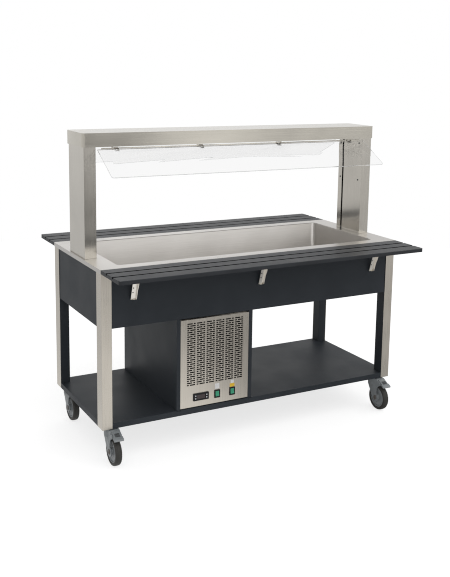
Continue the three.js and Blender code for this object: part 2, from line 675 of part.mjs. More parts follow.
add('compressor', compressor(), castIron);
add('condenser', condenser(), fins);
add('fan_rotor', fanRotor(), darkPlastic);
add('canopy', canopyShell(), steel);
add('canopy_lamp', lamp(), buttonGrey);
for (const end of ends) {
  for (const side of sides) {
    const place = `${end.name}_${side.name}`;
    add(`caster_fork_${place}`, casterFork(side.s, end.s, end.s < 0), greyPlastic);
    add(`caster_wheel_${place}`, casterWheel(side.s, end.s), greyPlastic);
    add(`caster_tyre_${place}`, casterTyre(side.s, end.s), tyreRubber);
    if (end.s < 0) add(`brake_pedal_${side.name}`, brakePedal(side.s, end.s), greyPlastic);
  }
}

export default saladBar;
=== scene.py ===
import json
import math

import bmesh
import bpy
from mathutils import Matrix, Vector


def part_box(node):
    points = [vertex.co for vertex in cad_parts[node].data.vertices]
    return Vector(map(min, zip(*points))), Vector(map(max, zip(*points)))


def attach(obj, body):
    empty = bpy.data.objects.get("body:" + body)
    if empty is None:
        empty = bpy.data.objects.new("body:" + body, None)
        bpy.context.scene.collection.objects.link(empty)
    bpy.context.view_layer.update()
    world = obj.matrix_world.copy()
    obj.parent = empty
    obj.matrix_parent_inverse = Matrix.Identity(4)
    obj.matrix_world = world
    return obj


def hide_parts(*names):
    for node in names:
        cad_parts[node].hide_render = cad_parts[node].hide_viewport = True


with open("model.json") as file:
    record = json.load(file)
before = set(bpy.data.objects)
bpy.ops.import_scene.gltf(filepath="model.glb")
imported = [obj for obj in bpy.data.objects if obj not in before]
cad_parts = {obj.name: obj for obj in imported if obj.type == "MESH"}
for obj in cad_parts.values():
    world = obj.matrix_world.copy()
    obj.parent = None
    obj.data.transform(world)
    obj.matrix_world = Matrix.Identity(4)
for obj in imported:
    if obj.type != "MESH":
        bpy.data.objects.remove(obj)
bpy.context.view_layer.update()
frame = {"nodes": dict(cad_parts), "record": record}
nodes = frame["nodes"]
record = frame["record"]
bodyOfNode = {node: body for body, members in record["behaviour"]["bodies"].items() for node in members}
jointNamed = {joint["name"]: joint for joint in record["behaviour"]["joints"]}
scene = bpy.context.scene
longSides = ("front", "rear")
ends = ("left", "right")
corners = ("front_left", "front_right", "rear_left", "rear_right")
print("frame loaded:", len(nodes), "nodes")


noiseSpan = (0.35, 0.65)     # most of a noise texture lies between these, so this stretch is opened out
softDetail = 2.0             # of the noise in clouds and smudges
lineDetail = 4.0             # and in brush lines


def newMaterial(name, color, roughness, metallic=0.0):
    material = bpy.data.materials.new(name)
    material.use_nodes = True
    tree = material.node_tree
    shader = tree.nodes["Principled BSDF"]
    shader.inputs["Base Color"].default_value = (*color, 1.0)
    shader.inputs["Roughness"].default_value = roughness
    shader.inputs["Metallic"].default_value = metallic
    return material, tree, shader


def noiseNode(tree, scale, detail=3.0, stretch=(1, 1, 1)):
    place = tree.nodes.new("ShaderNodeTexCoord")
    mapping = tree.nodes.new("ShaderNodeMapping")
    mapping.inputs["Scale"].default_value = stretch
    noise = tree.nodes.new("ShaderNodeTexNoise")
    noise.inputs["Scale"].default_value = scale
    noise.inputs["Detail"].default_value = detail
    tree.links.new(place.outputs["Object"], mapping.inputs["Vector"])
    tree.links.new(mapping.outputs["Vector"], noise.inputs["Vector"])
    return noise.outputs["Fac"]


def rangeNode(tree, value, start, end, low=0.0, high=1.0):
    remap = tree.nodes.new("ShaderNodeMapRange")
    remap.inputs["From Min"].default_value = start
    remap.inputs["From Max"].default_value = end
    remap.inputs["To Min"].default_value = low
    remap.inputs["To Max"].default_value = high
    tree.links.new(value, remap.inputs["Value"])
    return remap.outputs["Result"]


def roughen(tree, shader, value, roughness):
    tree.links.new(rangeNode(tree, value, *noiseSpan, *roughness), shader.inputs["Roughness"])


def tint(tree, shader, value, dark, light):
    ramp = tree.nodes.new("ShaderNodeValToRGB")
    for stop, position, color in zip(ramp.color_ramp.elements, noiseSpan, (dark, light)):
        stop.position = position
        stop.color = (*color, 1.0)
    tree.links.new(value, ramp.inputs["Fac"])
    tree.links.new(ramp.outputs["Color"], shader.inputs["Base Color"])


def bumpFrom(tree, shader, value, look):
    bump = tree.nodes.new("ShaderNodeBump")
    bump.inputs["Strength"].default_value = look["bump"]
    bump.inputs["Distance"].default_value = look["bumpHigh"]
    tree.links.new(value, bump.inputs["Height"])
    tree.links.new(bump.outputs["Normal"], shader.inputs["Normal"])


def mixShaders(tree, share, first, second):
    mix = tree.nodes.new("ShaderNodeMixShader")
    if isinstance(share, float):
        mix.inputs["Fac"].default_value = share
    else:
        tree.links.new(share, mix.inputs["Fac"])
    tree.links.new(first, mix.inputs[1])
    tree.links.new(second, mix.inputs[2])
    return mix.outputs["Shader"]


def mathNode(tree, operation, first, second, clamp=False):
    node = tree.nodes.new("ShaderNodeMath")
    node.operation = operation
    node.use_clamp = clamp
    tree.links.new(first, node.inputs[0])
    if isinstance(second, float):
        node.inputs[1].default_value = second
    else:
        tree.links.new(second, node.inputs[1])
    return node.outputs["Value"]


def mirroredOnce(tree):
    # 1 for a ray that has met a mirror on its way, also through a clear sheet
    path = tree.nodes.new("ShaderNodeLightPath")
    return mathNode(tree, "MINIMUM", path.outputs["Glossy Depth"], 1.0)


def seenDirectly(tree):
    # 1 for a camera ray, also through a clear sheet
    path = tree.nodes.new("ShaderNodeLightPath")
    seen = mathNode(tree, "MAXIMUM", path.outputs["Is Camera Ray"], path.outputs["Is Transmission Ray"])
    return mathNode(tree, "SUBTRACT", seen, mirroredOnce(tree), True)


steelLook = {
    "dark": (0.50, 0.48, 0.455),
    "light": (0.61, 0.59, 0.565),
    "roughness": (0.27, 0.40),
    "grain": 900.0,          # brush lines per metre across
    "run": 6.0,              # and along
    "smudge": 5.0,           # per metre
    "smudgeShare": 0.45,
    "bump": 0.10,
    "bumpHigh": 0.0001,
}


def brushedSteel(name, along, look):
    look = {**steelLook, **look}
    material, tree, shader = newMaterial(name, look["light"], look["roughness"][0], 1.0)
    stretch = [look["grain"]] * 3
    stretch["xyz".index(along)] = look["run"]
    lines = noiseNode(tree, 1.0, lineDetail, stretch)
    both = tree.nodes.new("ShaderNodeMix")
    both.inputs["Factor"].default_value = look["smudgeShare"]
    tree.links.new(lines, both.inputs["A"])
    tree.links.new(noiseNode(tree, look["smudge"], softDetail), both.inputs["B"])
    tint(tree, shader, both.outputs["Result"], look["dark"], look["light"])
    roughen(tree, shader, both.outputs["Result"], look["roughness"])
    bumpFrom(tree, shader, lines, look)
    return material


speckledLook = {
    "speckle": 700.0,        # per metre
    "cloud": 7.0,            # per metre
    "bump": 0.12,
    "bumpHigh": 0.0004,
    "metallic": 0.0,
    "specular": 0.5,
}


def speckled(name, look):
    look = {**speckledLook, **look}
    material, tree, shader = newMaterial(name, look["light"], look["roughness"][0], look["metallic"])
    shader.inputs["Specular IOR Level"].default_value = look["specular"]
    broad = noiseNode(tree, look["cloud"], softDetail)
    tint(tree, shader, broad, look["dark"], look["light"])
    roughen(tree, shader, broad, look["roughness"])
    bumpFrom(tree, shader, noiseNode(tree, look["speckle"]), look)
    return material


clearLook = {
    "color": (0.94, 0.94, 0.94),
    "roughness": 0.02,
    "bend": 1.10,            # low, as the thin sheets hardly shift what is behind them
    "shadow": (0.95, 0.955, 0.955),
    "edge": (0.80, 0.82, 0.82),
    "edgeRoughness": 0.25,
    "edgeCloud": 60.0,       # per metre
    "edgeDark": 0.95,        # shade of the clouds
    "edgeClear": 0.50,       # share that lets light straight through
}


def clearSheet(look):
    material, tree, shader = newMaterial("clearSheet", look["color"], look["roughness"])
    shader.inputs["Transmission Weight"].default_value = 1.0
    shader.inputs["IOR"].default_value = look["bend"]
    clear = tree.nodes.new("ShaderNodeBsdfTransparent")
    clear.inputs["Color"].default_value = (*look["shadow"], 1.0)
    path = tree.nodes.new("ShaderNodeLightPath")
    surface = mixShaders(tree, path.outputs["Is Shadow Ray"], shader.outputs["BSDF"], clear.outputs["BSDF"])
    tree.links.new(surface, tree.nodes["Material Output"].inputs["Surface"])
    return material


def paleEdge(look):
    material, tree, shader = newMaterial("paleEdge", look["edge"], look["edgeRoughness"])
    dark = [part * look["edgeDark"] for part in look["edge"]]
    tint(tree, shader, noiseNode(tree, look["edgeCloud"], softDetail), dark, look["edge"])
    clear = tree.nodes.new("ShaderNodeBsdfTransparent")
    surface = mixShaders(tree, look["edgeClear"], shader.outputs["BSDF"], clear.outputs["BSDF"])
    tree.links.new(surface, tree.nodes["Material Output"].inputs["Surface"])
    return material


litLook = {
    "roughness": 0.22,
    "coat": 0.4,
    "cloud": 90.0,           # per metre
    "dark": 0.75,            # shade of the clouds
}


def litPlastic(name, look):
    look = {**litLook, **look}
    material, tree, shader = newMaterial(name, look["color"], look["roughness"])
    shader.inputs["Coat Weight"].default_value = look["coat"]
    shader.inputs["Emission Color"].default_value = (*look["color"], 1.0)
    shader.inputs["Emission Strength"].default_value = look["glow"]
    dark = [part * look["dark"] for part in look["color"]]
    tint(tree, shader, noiseNode(tree, look["cloud"], softDetail), dark, look["color"])
    return material


worktopSteel = brushedSteel("steelWorktop", "x", {})
wellSteel = brushedSteel("steelWell", "x", {"roughness": (0.34, 0.46)})
postSteel = brushedSteel("steelPosts", "z", {
    "dark": (0.50, 0.476, 0.43), "light": (0.61, 0.58, 0.525), "roughness": (0.15, 0.22), "bump": 0.03,
})
canopySteel = brushedSteel("steelCanopy", "x", {
    "dark": (0.51, 0.484, 0.430), "light": (0.62, 0.589, 0.523), "roughness": (0.14, 0.20),
})
legSteel = brushedSteel("steelLegs", "z", {
    "dark": (0.50, 0.465, 0.41), "light": (0.60, 0.56, 0.495), "roughness": (0.25, 0.34), "bump": 0.03,
})
staySteel = brushedSteel("steelStays", "z", {
    "dark": (0.66, 0.63, 0.58), "light": (0.78, 0.75, 0.70),
})
screwSteel = speckled("screwSteel", {
    "dark": (0.10, 0.10, 0.105), "light": (0.16, 0.16, 0.165), "roughness": (0.45, 0.6),
    "speckle": 600.0, "bump": 0.10, "metallic": 0.9,
})
laminate = speckled("anthraciteLaminate", {
    "dark": (0.025, 0.030, 0.036), "light": (0.031, 0.036, 0.043), "roughness": (0.46, 0.54),
    "specular": 0.2,
})
trayLaminate = speckled("trayLaminate", {
    "dark": (0.022, 0.024, 0.028), "light": (0.029, 0.032, 0.037), "roughness": (0.42, 0.48),
    "specular": 0.25,
})
# near-black painted shade, laid on the floors and walls of the tray slides' grooves, where shade falls
paintedGrooveShade = speckled("paintedGrooveShade", {
    "dark": (0.004, 0.004, 0.005), "light": (0.006, 0.006, 0.007), "roughness": (0.65, 0.8),
    "speckle": 600.0, "bump": 0.10, "specular": 0.05,
})
casterGrey = speckled("casterGrey", {
    "dark": (0.235, 0.255, 0.265), "light": (0.275, 0.295, 0.305), "roughness": (0.34, 0.44),
    "speckle": 500.0,
})
wheelGrey = speckled("wheelGrey", {
    "dark": (0.28, 0.30, 0.31), "light": (0.33, 0.35, 0.36), "roughness": (0.42, 0.52),
    "speckle": 500.0,
})
tyreRubber = speckled("tyreRubber", {
    "dark": (0.028, 0.027, 0.024), "light": (0.040, 0.038, 0.034), "roughness": (0.62, 0.75),
    "speckle": 400.0, "bump": 0.35,
})
capBrown = speckled("capBrown", {
    "dark": (0.11, 0.095, 0.085), "light": (0.15, 0.13, 0.115), "roughness": (0.4, 0.55),
    "speckle": 500.0, "bump": 0.10,
})
padRubber = speckled("padRubber", {
    "dark": (0.035, 0.036, 0.038), "light": (0.055, 0.056, 0.058), "roughness": (0.55, 0.7),
    "speckle": 900.0, "bump": 0.30,
})
blackPlastic = speckled("blackPlastic", {
    "dark": (0.008, 0.008, 0.009), "light": (0.012, 0.012, 0.013), "roughness": (0.30, 0.38),
    "speckle": 900.0, "bump": 0.08, "specular": 0.2,
})
palePlastic = speckled("palePlastic", {
    "dark": (0.66, 0.68, 0.70), "light": (0.74, 0.76, 0.78), "roughness": (0.35, 0.45),
    "speckle": 900.0, "bump": 0.05,
})
whiteTab = speckled("whiteTab", {
    "dark": (0.72, 0.73, 0.74), "light": (0.82, 0.82, 0.82), "roughness": (0.3, 0.4),
    "speckle": 800.0, "bump": 0.04,
})
yellowTab = speckled("yellowTab", {
    "dark": (0.80, 0.50, 0.03), "light": (0.90, 0.60, 0.05), "roughness": (0.3, 0.4),
    "speckle": 800.0, "bump": 0.04,
})
compressorPaint = speckled("compressorPaint", {
    "dark": (0.012, 0.012, 0.013), "light": (0.018, 0.018, 0.019), "roughness": (0.35, 0.5),
    "speckle": 300.0, "bump": 0.10,
})
# near black as painted shade: it stands in for the dark inside the cabinet, seen through the grille slots
condenserShadeBlack = speckled("condenserShadeBlack", {
    "dark": (0.006, 0.006, 0.006), "light": (0.012, 0.012, 0.012), "roughness": (0.6, 0.75),
    "speckle": 600.0, "bump": 0.10, "specular": 0.1,
})
guardClear = clearSheet(clearLook)
guardEdge = paleEdge(clearLook)
rockerGreen = litPlastic("litGreen", {"color": (0.012, 0.27, 0.145), "glow": 0.20})
displayGlass = litPlastic("displayGlass", {"color": (0.020, 0.003, 0.004), "glow": 0.02})
print("materials made")


creaseAngle = math.radians(35)
sameSpot = 0.00001           # points closer than this are one
sameDigits = 5               # cuts that agree to this many decimals are one
solidMerge = {"spots": 0.00002, "flat": math.radians(0.8)}


def meshPiece(name, bm, material, body, roundEdges=0.0, segments=2, smooth=True):
    bmesh.ops.recalc_face_normals(bm, faces=bm.faces)
    mesh = bpy.data.meshes.new(name)
    bm.to_mesh(mesh)
    bm.free()
    if smooth:
        mesh.polygons.foreach_set("use_smooth", [True] * len(mesh.polygons))
        mesh.set_sharp_from_angle(angle=creaseAngle)
        mesh.update()
    piece = bpy.data.objects.new(name, mesh)
    scene.collection.objects.link(piece)
    mesh.materials.append(material)
    if roundEdges:
        bevel = piece.modifiers.new("softEdges", "BEVEL")
        bevel.width = roundEdges
        bevel.segments = segments
        bevel.limit_method = "ANGLE"
        bevel.angle_limit = creaseAngle
        bevel.harden_normals = True
    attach(piece, body)
    return piece


def finished(node, material, roundEdges, segments=2):
    # a merged copy of the solid, with small rounded edges that catch the light
    bm = bmesh.new()
    bm.from_mesh(nodes[node].data)
    bmesh.ops.remove_doubles(bm, verts=bm.verts, dist=solidMerge["spots"])
    bmesh.ops.dissolve_limit(bm, angle_limit=solidMerge["flat"], verts=bm.verts, edges=bm.edges)
    piece = meshPiece(f"{node}_finished", bm, material, bodyOfNode[node],
                      roundEdges, segments)
    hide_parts(node)
    return piece


def addLook(piece, material, chosen):
    # the faces that chosen(face) picks get a material of their own
    piece.data.materials.append(material)
    index = len(piece.data.materials) - 1
    for face in piece.data.polygons:
        if chosen(face):
            face.material_index = index


def dressed(node, material):
    target = nodes[node].data
    target.materials.clear()
    target.materials.append(material)


sheetSteel = {
    "round": 0.0006,
    "looks": {
        "worktop": worktopSteel,
        "canopy": canopySteel,
        "upright_left": postSteel,
        "upright_right": postSteel,
        "insulated_well": wellSteel,
        "drain_fitting": wellSteel,
    },
}
sheetSteel["looks"].update({f"leg_cladding_{corner}": legSteel for corner in corners})
sheetSteel["looks"].update({f"tray_stay_{side}_{place}": staySteel
                            for side in longSides for place in ("left", "middle", "right")})
for node, material in sheetSteel["looks"].items():
    finished(node, material, sheetSteel["round"])

board = {
    "round": 0.0008,
    "nodes": ["apron_front", "apron_rear", "apron_left", "apron_right", "bottom_shelf",
              "compartment_side_left", "compartment_side_right"],
}
board["nodes"] += [f"leg_post_{corner}" for corner in corners]
for node in board["nodes"]:
    finished(node, laminate, board["round"])

traySlide = {
    "round": 0.0008,
    "grooveDeep": 0.0075,    # faces between this
    "grooveTop": 0.0005,     # and this below the ribs' tops are in a groove
    "rim": 0.006,            # width of the plain long edges
    "across": 0.5,           # end faces lean further than this towards X
}


def traySlidePiece(side):
    node = f"tray_slide_{side}"
    low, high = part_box(node)
    tray = finished(node, trayLaminate, traySlide["round"])

    def grooveToShade(face):
        below = high.z - face.center.z
        inside = low.y + traySlide["rim"] < face.center.y < high.y - traySlide["rim"]
        deep = traySlide["grooveTop"] < below < traySlide["grooveDeep"]
        return inside and deep and abs(face.normal.x) < traySlide["across"]

    # the groove faces get the near-black painted shade
    addLook(tray, paintedGrooveShade, grooveToShade)


sneezeGuard = {
    "round": 0.0004,
    "tilt": math.radians(30),
    "edgeLean": 0.7,         # a face that leans further than this from the sheet's own is an edge
    "clampReach": 0.009,     # the clamps lie this near the hinge's axis
}


def sneezeGuardPiece(side, outward):
    hinge = Vector(jointNamed[f"guard_{side}_lift"]["pos_m"])
    guard = finished(f"sneeze_guard_{side}", guardClear, sneezeGuard["round"])
    flat = Vector((0, outward * math.sin(sneezeGuard["tilt"]), math.cos(sneezeGuard["tilt"])))
    addLook(guard, guardEdge, lambda face: abs(face.normal.dot(flat)) < sneezeGuard["edgeLean"])
    addLook(guard, postSteel, lambda face: (face.center - hinge).yz.length < sneezeGuard["clampReach"])


for side, outward in zip(longSides, (-1, 1)):
    traySlidePiece(side)
    sneezeGuardPiece(side, outward)

controls = {"round": 0.0005, "rockerRound": 0.0008, "rockerSegments": 3}
moulding = {"round": 0.0012, "segments": 3}
for node in ("thermostat_body", "switch_bezel_left", "switch_bezel_right"):
    finished(node, blackPlastic, controls["round"])
for node in nodes:
    if node.startswith("thermostat_button"):
        dressed(node, palePlastic)
for end in ends:
    finished(f"switch_rocker_{end}", rockerGreen, controls["rockerRound"], controls["rockerSegments"])
    finished(f"brake_pedal_{end}", casterGrey, moulding["round"], moulding["segments"])
dressed("compressor", compressorPaint)
# the condenser carries the painted shade seen through the grille slots
dressed("condenser", condenserShadeBlack)
dressed("fan_rotor", blackPlastic)
dressed("canopy_lamp", palePlastic)
for corner in corners:
    finished(f"caster_fork_{corner}", casterGrey, moulding["round"], moulding["segments"])
print("solids finished")


frontGrille = {
    "node": "front_grille",
    "below": 0.0035,         # how much lower than the solid the sheet's top edge is
    "sheet": 0.0010,
    "fromLeft": 0.0315,      # to the first column
    "columns": 6,
    "columnPitch": 0.0469,
    "spans": (               # where the slots of a column start and end, row by row
        ((-0.0003, 0.0253), (0.0305, 0.0397)),
        ((-0.0003, 0.0089), (0.0141, 0.0397)),
    ),
    "fromTop": 0.0160,       # to the first row
    "rows": 30,
    "rowPitch": 0.00957,
    "slotHigh": 0.0056,
    "holes": (               # behind each control, with its half width and half height
        ("thermostat_body", 0.0355, 0.0145),
        ("switch_bezel_left", 0.011, 0.0155),
        ("switch_bezel_right", 0.011, 0.0155),
    ),
}
rearGrille = {
    "node": "rear_grille",
    "below": 0.0,
    "sheet": 0.0010,
    "fromLeft": 0.0428,
    "columns": 3,
    "columnPitch": 0.086,
    "spans": (
        ((0.0, 0.078),),
    ),
    "fromTop": 0.0320,
    "rows": 26,
    "rowPitch": 0.0105,
    "slotHigh": 0.0045,
    "holes": (),
}


def panelOpenings(look, low, high):
    # left, right, bottom and top of each slot and hole
    openings = []
    for row in range(look["rows"]):
        top = high.z - look["fromTop"] - row * look["rowPitch"]
        for column in range(look["columns"]):
            left = low.x + look["fromLeft"] + column * look["columnPitch"]
            for start, end in look["spans"][row % len(look["spans"])]:
                openings.append((left + start, left + end, top - look["slotHigh"], top))
    for node, halfWide, halfHigh in look["holes"]:
        boxLow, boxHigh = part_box(node)
        middle = (boxLow + boxHigh) / 2
        openings.append((middle.x - halfWide, middle.x + halfWide, middle.z - halfHigh, middle.z + halfHigh))
    return openings


def cutPlaces(openings, edges):
    return sorted({round(opening[edge], sameDigits) for opening in openings for edge in edges})


def slottedPanel(look, name, facing):
    low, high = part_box(look["node"])
    high.z -= look["below"]
    face = low.y if facing < 0 else high.y
    back = high.y if facing < 0 else low.y
    openings = panelOpenings(look, low, high)
    bm = bmesh.new()
    bmesh.ops.create_grid(bm, x_segments=1, y_segments=1, size=0.5)
    bmesh.ops.scale(bm, vec=(high.x - low.x, high.z - low.z, 1), verts=bm.verts)
    bmesh.ops.rotate(bm, matrix=Matrix.Rotation(math.pi / 2, 3, "X"), verts=bm.verts)
    bmesh.ops.translate(bm, vec=((low.x + high.x) / 2, face, (low.z + high.z) / 2), verts=bm.verts)
    for axis, cuts in (((1, 0, 0), cutPlaces(openings, (0, 1))), ((0, 0, 1), cutPlaces(openings, (2, 3)))):
        for place in cuts:
            bmesh.ops.bisect_plane(bm, geom=bm.verts[:] + bm.edges[:] + bm.faces[:],
                                   plane_co=Vector(axis) * place, plane_no=axis, dist=sameSpot)
    inSlot = []
    for cell in bm.faces:
        middle = cell.calc_center_median()
        if any(left < middle.x < right and bottom < middle.z < top for left, right, bottom, top in openings):
            inSlot.append(cell)
    outer = [edge for edge in bm.edges if edge.is_boundary]
    bmesh.ops.delete(bm, geom=inSlot, context="FACES_ONLY")
    folds = bmesh.ops.extrude_edge_only(bm, edges=outer)["geom"]
    foldEnds = [part for part in folds if isinstance(part, bmesh.types.BMVert)]
    bmesh.ops.translate(bm, vec=(0, back - face, 0), verts=foldEnds)
    loose = [vert for vert in bm.verts if not vert.link_faces]
    bmesh.ops.delete(bm, geom=loose, context="VERTS")
    piece = meshPiece(name, bm, legSteel, "frame", smooth=False)
    thickness = piece.modifiers.new("sheet", "SOLIDIFY")
    thickness.thickness = look["sheet"]
    thickness.offset = -1.0
    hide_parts(look["node"])


slottedPanel(frontGrille, "front_panel_slotted", -1)
slottedPanel(rearGrille, "rear_panel_slotted", 1)
print("panels made")


plateRound = {"edge": 0.2, "segments": 3}      # edge is a share of the thickness
# each plate lies over the middle of one node, raised by lift, and stands out from the front of another
panelPlates = {
    "thermostat_display": {
        "over": "thermostat_body", "lift": 0.0, "front": "thermostat_body", "out": -0.0006,
        "wide": 0.039, "high": 0.019, "thick": 0.0005, "corner": 0.0008,
        "material": displayGlass, "slot": "black_plastic",
    },
    "switch_tab_left": {
        "over": "switch_bezel_left", "lift": 0.0355, "front": "front_grille", "out": 0.0004,
        "wide": 0.022, "high": 0.025, "thick": 0.0006, "corner": 0.0015,
        "material": whiteTab, "slot": "pale_plastic",
    },
    "switch_tab_right": {
        "over": "switch_bezel_right", "lift": 0.0280, "front": "front_grille", "out": 0.0004,
        "wide": 0.024, "high": 0.016, "thick": 0.0006, "corner": 0.0015,
        "material": yellowTab, "slot": "pale_plastic",
    },
    "switch_tab_right_upper": {
        "over": "switch_bezel_right", "lift": 0.0445, "front": "front_grille", "out": 0.0004,
        "wide": 0.016, "high": 0.015, "thick": 0.0006, "corner": 0.0015,
        "material": whiteTab, "slot": "pale_plastic",
    },
}


def barePlate(name, look):
    low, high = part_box(look["over"])
    middle = (low + high) / 2
    middle.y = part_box(look["front"])[0].y - look["out"]
    middle.z += look["lift"]
    bm = bmesh.new()
    bmesh.ops.create_cube(bm, size=1.0)
    bmesh.ops.scale(bm, vec=(look["wide"], look["thick"], look["high"]), verts=bm.verts)
    throughEdges = [edge for edge in bm.edges
                    if abs((edge.verts[0].co - edge.verts[1].co).y) > look["thick"] / 2]
    bmesh.ops.bevel(bm, geom=throughEdges, offset=look["corner"], segments=plateRound["segments"],
                    affect="EDGES", profile=0.5, material=-1)
    bmesh.ops.translate(bm, vec=middle, verts=bm.verts)
    meshPiece(name, bm, look["material"], "frame", look["thick"] * plateRound["edge"])


for name, look in panelPlates.items():
    barePlate(name, look)
print("display and tabs made")


def turnedAboutX(profile, center, steps, closed=True):
    # a profile of (distance along the axle, radius), turned about the axle
    bm = bmesh.new()
    verts = [bm.verts.new((along, 0, radius)) for along, radius in profile]
    edges = [bm.edges.new(pair) for pair in zip(verts, verts[1:])]
    if closed:
        edges.append(bm.edges.new((verts[-1], verts[0])))
    bmesh.ops.spin(bm, geom=verts + edges, cent=(0, 0, 0), axis=(1, 0, 0), angle=2 * math.pi,
                   steps=steps, use_merge=True)
    bmesh.ops.remove_doubles(bm, verts=bm.verts, dist=sameSpot)
    bmesh.ops.translate(bm, vec=center, verts=bm.verts)
    return bm


def mirrored(half):
    return half + [(-along, radius) for along, radius in reversed(half)]


wheel = {
    "radius": 0.0625,
    "steps": 72,
    "hub": mirrored([        # boss, dished web, ring groove and rim
        (-0.0160, 0.0066), (-0.0160, 0.0125), (-0.0148, 0.0140), (-0.0105, 0.0150), (-0.0085, 0.0175),
        (-0.0080, 0.0300), (-0.0092, 0.0330), (-0.0104, 0.0380), (-0.0100, 0.0398), (-0.0060, 0.0404),
        (-0.0060, 0.0424), (-0.0118, 0.0432), (-0.0130, 0.0444), (-0.0128, 0.0462), (-0.0118, 0.0478),
    ]),
    "tyre": mirrored([       # side wall, shoulder and a tread with two fine grooves
        (-0.0118, 0.0483), (-0.0138, 0.0500), (-0.0148, 0.0535), (-0.0146, 0.0570), (-0.0132, 0.0598),
        (-0.0105, 0.0616), (-0.0070, 0.0623), (-0.0066, 0.0617), (-0.0056, 0.0617), (-0.0052, 0.0625),
        (-0.0012, 0.0625),
    ]),
}


def casterWheel(corner):
    low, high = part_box(f"caster_tyre_{corner}")
    center = (low + high) / 2
    center.z = wheel["radius"]
    hub = meshPiece(f"wheel_disc_{corner}", turnedAboutX(wheel["hub"], center, wheel["steps"]),
                    wheelGrey, f"wheel_{corner}")
    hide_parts(f"caster_wheel_{corner}")
    tyre = meshPiece(f"tyre_{corner}", turnedAboutX(wheel["tyre"], center, wheel["steps"]),
                     tyreRubber, f"wheel_{corner}")
    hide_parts(f"caster_tyre_{corner}")


for corner in corners:
    casterWheel(corner)
print("wheels made")


axleCap = {
    "radius": 0.0112,
    "seat": 0.0225,          # from the wheel's middle to where the cap meets the cheek
    "out": 0.0258,           # and to its face
    "round": 0.0010,
    "dish": 0.0050,          # radius of the hollow in the face
    "dishDeep": 0.0008,
    "steps": 32,
}


def axleCaps(corner):
    low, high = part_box(f"caster_wheel_{corner}")
    floor = axleCap["out"] - axleCap["dishDeep"]
    half = [
        (axleCap["seat"], 0.0), (axleCap["seat"], axleCap["radius"]),
        (axleCap["out"] - 0.9 * axleCap["round"], axleCap["radius"]),
        (axleCap["out"], axleCap["radius"] - axleCap["round"]),
        (axleCap["out"], axleCap["dish"]), (floor, axleCap["dish"] - axleCap["dishDeep"]), (floor, 0.0),
    ]
    for end, outward in zip(ends, (-1, 1)):
        profile = [(outward * along, radius) for along, radius in half]
        cap = turnedAboutX(profile, (low + high) / 2, axleCap["steps"], False)
        meshPiece(f"axle_cap_{corner}_{end}", cap, capBrown, f"fork_{corner}")


for corner in corners:
    axleCaps(corner)

gripPad = {
    "half": 0.0105,          # across the pedal
    "start": {"out": 0.0635, "high": 0.1512},    # out is measured forwards from the swivel's axis
    "end": {"out": 0.0825, "high": 0.1425},
    "thick": 0.0014,
    "ribs": 6,
    "ribShare": 0.62,        # of the pitch
    "round": 0.0003,
}


def gripPadPiece(end):
    swivel = jointNamed[f"swivel_front_{end}"]["pos_m"]
    start = gripPad["start"]
    run = gripPad["end"]["out"] - start["out"]
    drop = start["high"] - gripPad["end"]["high"]
    pitch = math.hypot(run, drop) / gripPad["ribs"]
    bm = bmesh.new()
    for i in range(gripPad["ribs"]):
        rib = bmesh.ops.create_cube(bm, size=1.0)["verts"]
        ribSize = (2 * gripPad["half"], pitch * gripPad["ribShare"], gripPad["thick"])
        bmesh.ops.scale(bm, vec=ribSize, verts=rib)
        bmesh.ops.translate(bm, vec=(0, -(i + 0.5) * pitch, 0), verts=rib)
    bmesh.ops.rotate(bm, matrix=Matrix.Rotation(math.atan2(drop, run), 3, "X"), verts=bm.verts)
    bmesh.ops.translate(bm, vec=(swivel[0], swivel[1] - start["out"], start["high"]), verts=bm.verts)
    meshPiece(f"grip_pad_{end}", bm, padRubber, f"pedal_{end}", gripPad["round"])


for end in ends:
    gripPadPiece(end)
print("axle caps and grip pads made")

postScrew = {
    "radius": 0.0042,
    "high": 0.0022,
    "profile": (             # of the head, in shares of its height and its radius
        (0.0, 0.0), (0.0, 1.0), (0.45, 1.0), (0.85, 0.78), (1.0, 0.45), (1.0, 0.0),
    ),
    "places": (-0.070, 0.080),       # across the post
    "fromTop": (0.0837, 0.2657),     # down from the post's top
    "steps": 20,
}


def postScrews(end, inward):
    low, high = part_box(f"upright_{end}")
    innerFace = high.x if inward > 0 else low.x
    profile = [(inward * along * postScrew["high"], out * postScrew["radius"])
               for along, out in postScrew["profile"]]
    places = [(y, high.z - down) for y in postScrew["places"] for down in postScrew["fromTop"]]
    for i, (y, z) in enumerate(places):
        head = turnedAboutX(profile, (innerFace, y, z), postScrew["steps"], False)
        meshPiece(f"post_screw_{end}_{i}", head, screwSteel, "frame")


for end, inward in zip(ends, (1, -1)):
    postScrews(end, inward)
print("screws made")


camera = {
    "place": (-1.9736, -3.6713, 1.6982),
    "turn": 29.108,          # degrees towards +X from straight along +Y
    "down": 9.785,
    "roll": 1.018,
    "photo": (450, 577),     # the photograph's width and height in pixels
    "focal": 897.6,          # in the same pixels
    "middle": (241.72, 214.46),
    "sensor": 36.0,
}


def photoCamera(look):
    wide, high = look["photo"]
    data = bpy.data.cameras.new("photoCamera")
    data.sensor_width = look["sensor"]
    data.lens = look["focal"] * look["sensor"] / high
    data.shift_x = (wide / 2 - look["middle"][0]) / high
    data.shift_y = (look["middle"][1] - high / 2) / high
    placed = bpy.data.objects.new("photoCamera", data)
    placed.matrix_world = (
        Matrix.Translation(look["place"])
        @ Matrix.Rotation(math.radians(-look["turn"]), 4, "Z")
        @ Matrix.Rotation(math.radians(90 - look["down"]), 4, "X")
        @ Matrix.Rotation(math.radians(look["roll"]), 4, "Z")
    )
    scene.collection.objects.link(placed)
    scene.camera = placed


lamps = {
    "keyLamp": {"place": (-1.1, -4.4, 4.2), "size": 7.0, "power": 118},
    "fillLamp": {"place": (3.6, -3.0, 3.8), "size": 5.0, "power": 62},
    "backLamp": {"place": (1.0, 3.4, 3.8), "size": 3.0, "power": 20},
}
lampTarget = Vector((0.0, 0.0, 0.75))


